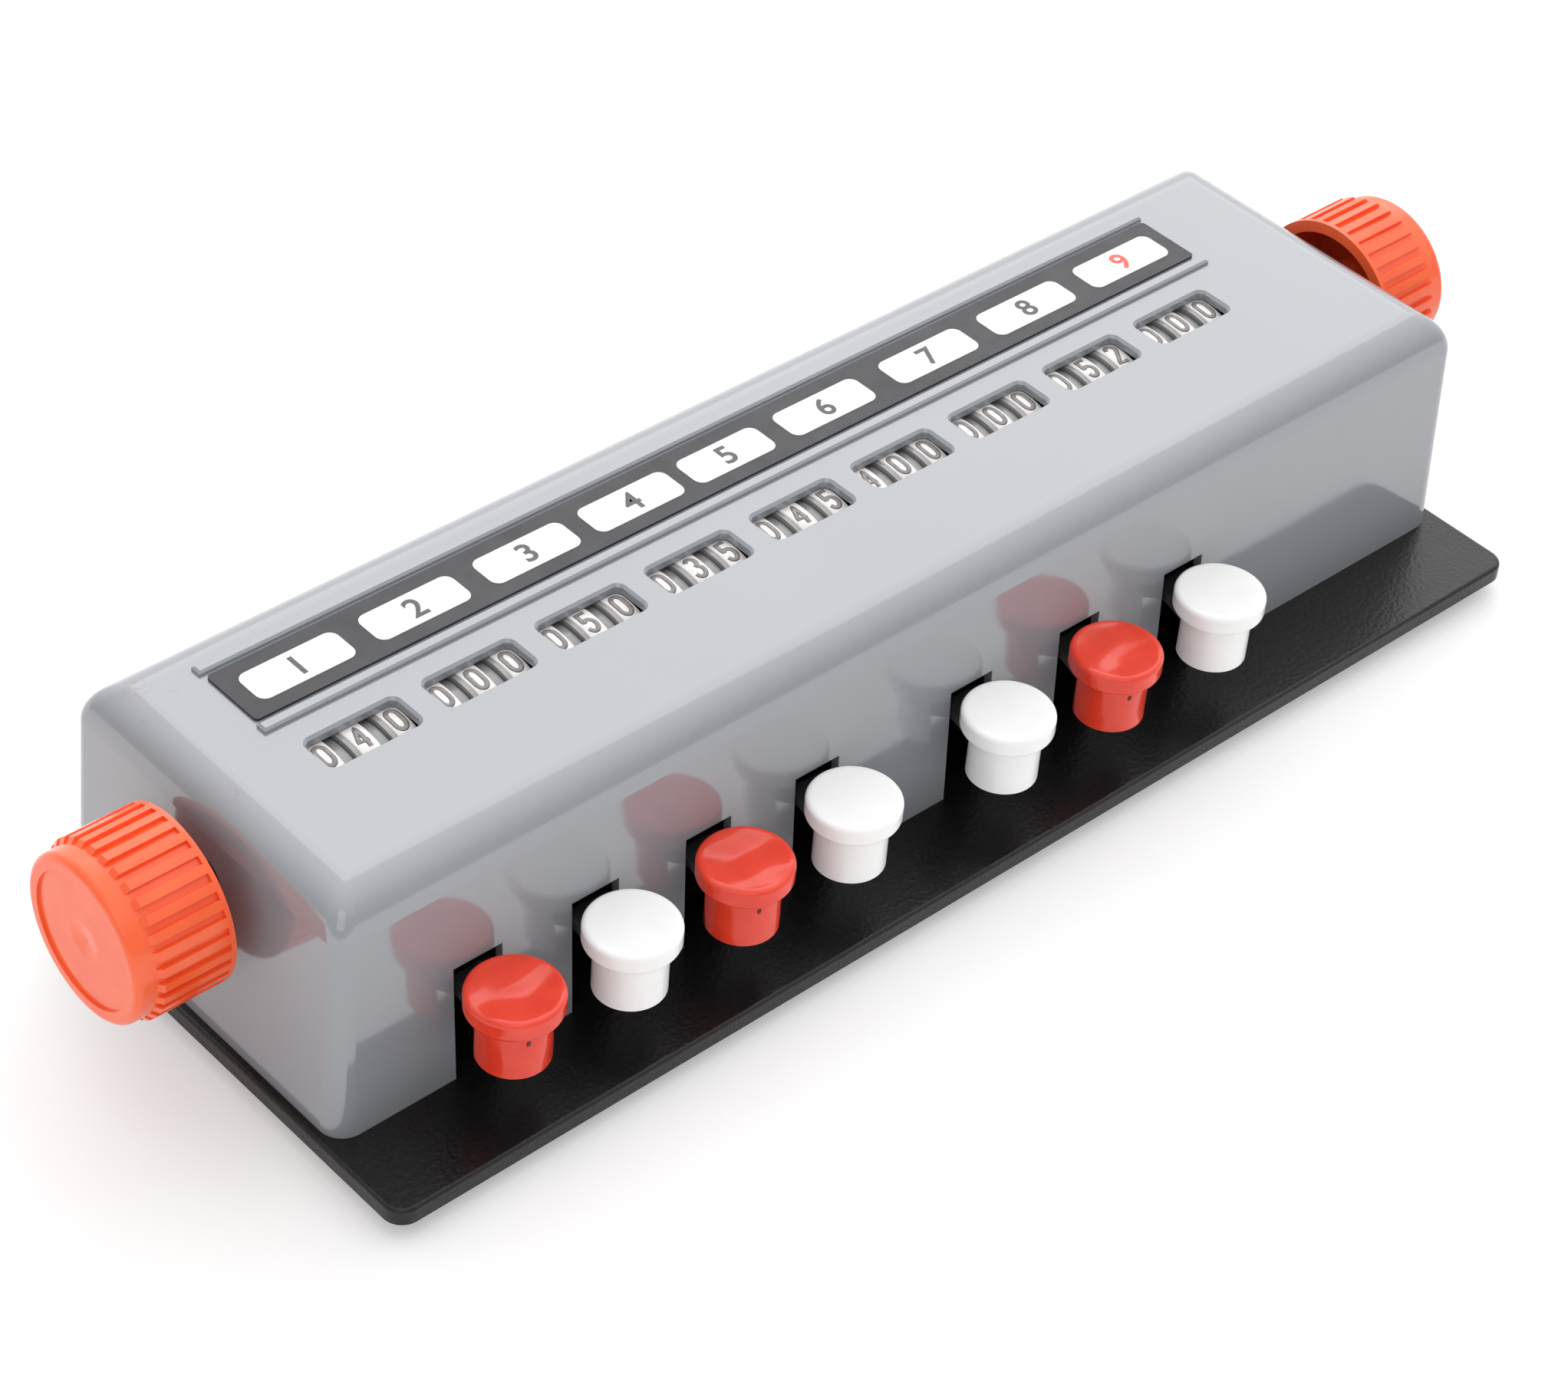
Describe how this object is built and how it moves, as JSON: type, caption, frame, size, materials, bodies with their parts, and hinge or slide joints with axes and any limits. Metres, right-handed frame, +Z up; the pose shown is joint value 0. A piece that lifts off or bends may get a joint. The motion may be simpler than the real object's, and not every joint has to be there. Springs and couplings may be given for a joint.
{
  "type": "blood cell counter",
  "caption": "Mechanical cell counter with sprung round keys, windowed number wheels in a sloped grey cover and a ribbed reset knob at each end.",
  "frame": {"origin": "on the table, under the centre of the base plate", "axes": "+X along the counter to the right of the operator, +Y from the operator to the back, +Z up"},
  "size_m": [0.3081, 0.0942, 0.0553],
  "materials": {
    "cover_grey": "gloss",
    "base_black": "satin",
    "label_dark": "satin",
    "key_red": "gloss",
    "key_white": "gloss",
    "knob_red": "satin",
    "wheel_black": "gloss",
    "lever_black": "satin",
    "frame_steel": "satin",
    "shaft_steel": "satin",
    "spring_steel": "satin",
    "screw_steel": "satin",
    "stop_felt": "matte",
    "foot_rubber": "matte"
  },
  "bodies": {
    "housing": {"base_plate": "base_black", "cover": "cover_grey", "label_strip": "label_dark", "rubber_feet": "foot_rubber", "base_screws": "screw_steel", "left_end_plate": "frame_steel", "centre_plate": "frame_steel", "right_end_plate": "frame_steel", "key_rod": "shaft_steel", "key_stop_bar": "frame_steel", "stop_felt": "stop_felt", "return_springs": "spring_steel"},
    "left_reset": {"left_reset_shaft": "shaft_steel", "left_knob": "knob_red", "left_shaft_collars": "shaft_steel"},
    "right_reset": {"right_reset_shaft": "shaft_steel", "right_knob": "knob_red", "right_shaft_collars": "shaft_steel"},
    "key_1": {"key_cap_1": "key_red", "key_lever_1": "lever_black"},
    "key_2": {"key_cap_2": "key_white", "key_lever_2": "lever_black"},
    "key_3": {"key_cap_3": "key_red", "key_lever_3": "lever_black"},
    "key_4": {"key_cap_4": "key_white", "key_lever_4": "lever_black"},
    "key_5": {"key_cap_5": "key_white", "key_lever_5": "lever_black"},
    "key_6": {"key_cap_6": "key_red", "key_lever_6": "lever_black"},
    "key_7": {"key_cap_7": "key_white", "key_lever_7": "lever_black"},
    "total_bail": {"total_bail": "lever_black"},
    "units_1": {"units_wheel_1": "wheel_black"},
    "tens_1": {"tens_wheel_1": "wheel_black"},
    "hundreds_1": {"hundreds_wheel_1": "wheel_black"},
    "units_2": {"units_wheel_2": "wheel_black"},
    "tens_2": {"tens_wheel_2": "wheel_black"},
    "hundreds_2": {"hundreds_wheel_2": "wheel_black"},
    "units_3": {"units_wheel_3": "wheel_black"},
    "tens_3": {"tens_wheel_3": "wheel_black"},
    "hundreds_3": {"hundreds_wheel_3": "wheel_black"},
    "units_4": {"units_wheel_4": "wheel_black"},
    "tens_4": {"tens_wheel_4": "wheel_black"},
    "hundreds_4": {"hundreds_wheel_4": "wheel_black"},
    "units_5": {"units_wheel_5": "wheel_black"},
    "tens_5": {"tens_wheel_5": "wheel_black"},
    "hundreds_5": {"hundreds_wheel_5": "wheel_black"},
    "units_6": {"units_wheel_6": "wheel_black"},
    "tens_6": {"tens_wheel_6": "wheel_black"},
    "hundreds_6": {"hundreds_wheel_6": "wheel_black"},
    "units_7": {"units_wheel_7": "wheel_black"},
    "tens_7": {"tens_wheel_7": "wheel_black"},
    "hundreds_7": {"hundreds_wheel_7": "wheel_black"},
    "units_8": {"units_wheel_8": "wheel_black"},
    "tens_8": {"tens_wheel_8": "wheel_black"},
    "hundreds_8": {"hundreds_wheel_8": "wheel_black"},
    "units_9": {"units_wheel_9": "wheel_black"},
    "tens_9": {"tens_wheel_9": "wheel_black"},
    "hundreds_9": {"hundreds_wheel_9": "wheel_black"}
  },
  "joints": [
    {"name": "left_reset_turn", "type": "hinge", "parent": "housing", "child": "left_reset", "pos_m": [0, 0.0069, 0.0383], "axis": [1, 0, 0], "continuous": true},
    {"name": "right_reset_turn", "type": "hinge", "parent": "housing", "child": "right_reset", "pos_m": [0, 0.0069, 0.0383], "axis": [1, 0, 0], "continuous": true},
    {"name": "key_1_press", "type": "hinge", "parent": "housing", "child": "key_1", "pos_m": [0, 0.036, 0.0165], "axis": [1, 0, 0], "range_deg": [0, 5.1], "stiffness_Nm_per_rad": 0.4, "springref_deg": -3.44},
    {"name": "key_2_press", "type": "hinge", "parent": "housing", "child": "key_2", "pos_m": [0, 0.036, 0.0165], "axis": [1, 0, 0], "range_deg": [0, 5.1], "stiffness_Nm_per_rad": 0.4, "springref_deg": -3.44},
    {"name": "key_3_press", "type": "hinge", "parent": "housing", "child": "key_3", "pos_m": [0, 0.036, 0.0165], "axis": [1, 0, 0], "range_deg": [0, 5.1], "stiffness_Nm_per_rad": 0.4, "springref_deg": -3.44},
    {"name": "key_4_press", "type": "hinge", "parent": "housing", "child": "key_4", "pos_m": [0, 0.036, 0.0165], "axis": [1, 0, 0], "range_deg": [0, 5.1], "stiffness_Nm_per_rad": 0.4, "springref_deg": -3.44},
    {"name": "key_5_press", "type": "hinge", "parent": "housing", "child": "key_5", "pos_m": [0, 0.036, 0.0165], "axis": [1, 0, 0], "range_deg": [0, 5.1], "stiffness_Nm_per_rad": 0.4, "springref_deg": -3.44},
    {"name": "key_6_press", "type": "hinge", "parent": "housing", "child": "key_6", "pos_m": [0, 0.036, 0.0165], "axis": [1, 0, 0], "range_deg": [0, 5.1], "stiffness_Nm_per_rad": 0.4, "springref_deg": -3.44},
    {"name": "key_7_press", "type": "hinge", "parent": "housing", "child": "key_7", "pos_m": [0, 0.036, 0.0165], "axis": [1, 0, 0], "range_deg": [0, 5.1], "stiffness_Nm_per_rad": 0.4, "springref_deg": -3.44},
    {"name": "total_bail_swing", "type": "hinge", "parent": "housing", "child": "total_bail", "pos_m": [0, 0.036, 0.0165], "axis": [1, 0, 0], "range_deg": [0, 4.5], "stiffness_Nm_per_rad": 0.4, "springref_deg": -3.44},
    {"name": "units_1_turn", "type": "hinge", "parent": "left_reset", "child": "units_1", "pos_m": [0, 0.0069, 0.0383], "axis": [1, 0, 0], "continuous": true},
    {"name": "tens_1_turn", "type": "hinge", "parent": "left_reset", "child": "tens_1", "pos_m": [0, 0.0069, 0.0383], "axis": [1, 0, 0], "continuous": true},
    {"name": "hundreds_1_turn", "type": "hinge", "parent": "left_reset", "child": "hundreds_1", "pos_m": [0, 0.0069, 0.0383], "axis": [1, 0, 0], "continuous": true},
    {"name": "units_2_turn", "type": "hinge", "parent": "left_reset", "child": "units_2", "pos_m": [0, 0.0069, 0.0383], "axis": [1, 0, 0], "continuous": true},
    {"name": "tens_2_turn", "type": "hinge", "parent": "left_reset", "child": "tens_2", "pos_m": [0, 0.0069, 0.0383], "axis": [1, 0, 0], "continuous": true},
    {"name": "hundreds_2_turn", "type": "hinge", "parent": "left_reset", "child": "hundreds_2", "pos_m": [0, 0.0069, 0.0383], "axis": [1, 0, 0], "continuous": true},
    {"name": "units_3_turn", "type": "hinge", "parent": "left_reset", "child": "units_3", "pos_m": [0, 0.0069, 0.0383], "axis": [1, 0, 0], "continuous": true},
    {"name": "tens_3_turn", "type": "hinge", "parent": "left_reset", "child": "tens_3", "pos_m": [0, 0.0069, 0.0383], "axis": [1, 0, 0], "continuous": true},
    {"name": "hundreds_3_turn", "type": "hinge", "parent": "left_reset", "child": "hundreds_3", "pos_m": [0, 0.0069, 0.0383], "axis": [1, 0, 0], "continuous": true},
    {"name": "units_4_turn", "type": "hinge", "parent": "left_reset", "child": "units_4", "pos_m": [0, 0.0069, 0.0383], "axis": [1, 0, 0], "continuous": true},
    {"name": "tens_4_turn", "type": "hinge", "parent": "left_reset", "child": "tens_4", "pos_m": [0, 0.0069, 0.0383], "axis": [1, 0, 0], "continuous": true},
    {"name": "hundreds_4_turn", "type": "hinge", "parent": "left_reset", "child": "hundreds_4", "pos_m": [0, 0.0069, 0.0383], "axis": [1, 0, 0], "continuous": true},
    {"name": "units_5_turn", "type": "hinge", "parent": "right_reset", "child": "units_5", "pos_m": [0, 0.0069, 0.0383], "axis": [1, 0, 0], "continuous": true},
    {"name": "tens_5_turn", "type": "hinge", "parent": "right_reset", "child": "tens_5", "pos_m": [0, 0.0069, 0.0383], "axis": [1, 0, 0], "continuous": true},
    {"name": "hundreds_5_turn", "type": "hinge", "parent": "right_reset", "child": "hundreds_5", "pos_m": [0, 0.0069, 0.0383], "axis": [1, 0, 0], "continuous": true},
    {"name": "units_6_turn", "type": "hinge", "parent": "right_reset", "child": "units_6", "pos_m": [0, 0.0069, 0.0383], "axis": [1, 0, 0], "continuous": true},
    {"name": "tens_6_turn", "type": "hinge", "parent": "right_reset", "child": "tens_6", "pos_m": [0, 0.0069, 0.0383], "axis": [1, 0, 0], "continuous": true},
    {"name": "hundreds_6_turn", "type": "hinge", "parent": "right_reset", "child": "hundreds_6", "pos_m": [0, 0.0069, 0.0383], "axis": [1, 0, 0], "continuous": true},
    {"name": "units_7_turn", "type": "hinge", "parent": "right_reset", "child": "units_7", "pos_m": [0, 0.0069, 0.0383], "axis": [1, 0, 0], "continuous": true},
    {"name": "tens_7_turn", "type": "hinge", "parent": "right_reset", "child": "tens_7", "pos_m": [0, 0.0069, 0.0383], "axis": [1, 0, 0], "continuous": true},
    {"name": "hundreds_7_turn", "type": "hinge", "parent": "right_reset", "child": "hundreds_7", "pos_m": [0, 0.0069, 0.0383], "axis": [1, 0, 0], "continuous": true},
    {"name": "units_8_turn", "type": "hinge", "parent": "right_reset", "child": "units_8", "pos_m": [0, 0.0069, 0.0383], "axis": [1, 0, 0], "continuous": true},
    {"name": "tens_8_turn", "type": "hinge", "parent": "right_reset", "child": "tens_8", "pos_m": [0, 0.0069, 0.0383], "axis": [1, 0, 0], "continuous": true},
    {"name": "hundreds_8_turn", "type": "hinge", "parent": "right_reset", "child": "hundreds_8", "pos_m": [0, 0.0069, 0.0383], "axis": [1, 0, 0], "continuous": true},
    {"name": "units_9_turn", "type": "hinge", "parent": "right_reset", "child": "units_9", "pos_m": [0, 0.0069, 0.0383], "axis": [1, 0, 0], "continuous": true},
    {"name": "tens_9_turn", "type": "hinge", "parent": "right_reset", "child": "tens_9", "pos_m": [0, 0.0069, 0.0383], "axis": [1, 0, 0], "continuous": true},
    {"name": "hundreds_9_turn", "type": "hinge", "parent": "right_reset", "child": "hundreds_9", "pos_m": [0, 0.0069, 0.0383], "axis": [1, 0, 0], "continuous": true}
  ],
  "couplings": [
    {"joint": "tens_1_turn", "follows": "units_1_turn", "ratio": 0.1},
    {"joint": "hundreds_1_turn", "follows": "units_1_turn", "ratio": 0.01},
    {"joint": "tens_2_turn", "follows": "units_2_turn", "ratio": 0.1},
    {"joint": "hundreds_2_turn", "follows": "units_2_turn", "ratio": 0.01},
    {"joint": "tens_3_turn", "follows": "units_3_turn", "ratio": 0.1},
    {"joint": "hundreds_3_turn", "follows": "units_3_turn", "ratio": 0.01},
    {"joint": "tens_4_turn", "follows": "units_4_turn", "ratio": 0.1},
    {"joint": "hundreds_4_turn", "follows": "units_4_turn", "ratio": 0.01},
    {"joint": "tens_5_turn", "follows": "units_5_turn", "ratio": 0.1},
    {"joint": "hundreds_5_turn", "follows": "units_5_turn", "ratio": 0.01},
    {"joint": "tens_6_turn", "follows": "units_6_turn", "ratio": 0.1},
    {"joint": "hundreds_6_turn", "follows": "units_6_turn", "ratio": 0.01},
    {"joint": "tens_7_turn", "follows": "units_7_turn", "ratio": 0.1},
    {"joint": "hundreds_7_turn", "follows": "units_7_turn", "ratio": 0.01},
    {"joint": "tens_8_turn", "follows": "units_8_turn", "ratio": 0.1},
    {"joint": "hundreds_8_turn", "follows": "units_8_turn", "ratio": 0.01},
    {"joint": "tens_9_turn", "follows": "units_9_turn", "ratio": 0.1},
    {"joint": "hundreds_9_turn", "follows": "units_9_turn", "ratio": 0.01}
  ]
}
